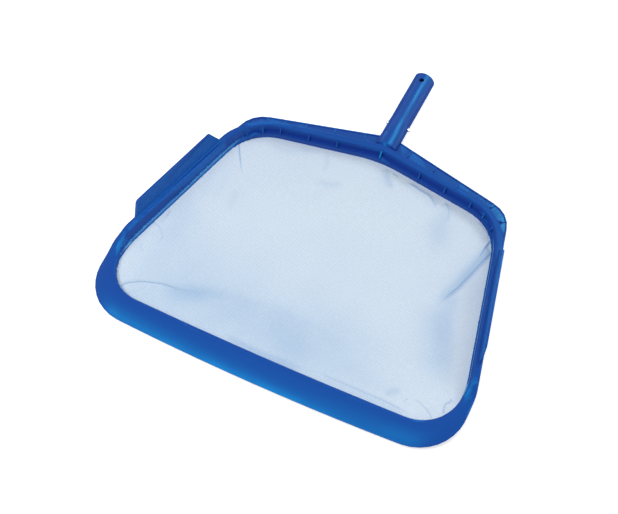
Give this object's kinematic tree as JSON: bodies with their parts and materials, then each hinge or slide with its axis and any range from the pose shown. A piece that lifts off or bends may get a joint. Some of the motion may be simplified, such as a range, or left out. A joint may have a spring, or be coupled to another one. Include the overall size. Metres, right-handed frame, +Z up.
{
  "type": "leaf skimmer net",
  "caption": "Flat skimmer head for a pool: moulded frame with a wide front lip, side wings and ribbed back rail, slack mesh panel, and a handle tube with a spring button clip.",
  "frame": {"origin": "middle of the length and width, at the surface the skimmer lies on", "axes": "+X along the lip to the right as seen from the lip towards the handle, +Y along the handle away from the lip, +Z up, away from the surface it lies on"},
  "size_m": [0.48, 0.5024, 0.0555],
  "materials": {
    "frame": "smooth moulded, soft sheen",
    "mesh": "fine woven plastic net",
    "handle": "smooth moulded, soft sheen",
    "spring": "bright spring strip",
    "buttons": "polished"
  },
  "bodies": {
    "skimmer": {"frame": "frame", "mesh_panel": "mesh", "handle_tube": "handle", "clip_spring": "spring"},
    "left_button": {"left_button": "buttons"},
    "right_button": {"right_button": "buttons"}
  },
  "joints": [
    {"name": "left_button_press", "type": "slide", "parent": "skimmer", "child": "left_button", "axis": [1, 0, 0], "range_m": [0, 0.0042], "stiffness_N_per_m": 2500, "springref_m": -0.002, "deforming": ["clip_spring"]},
    {"name": "right_button_press", "type": "slide", "parent": "skimmer", "child": "right_button", "axis": [-1, 0, 0], "range_m": [0, 0.0042], "stiffness_N_per_m": 2500, "springref_m": -0.002, "deforming": ["clip_spring"]}
  ]
}
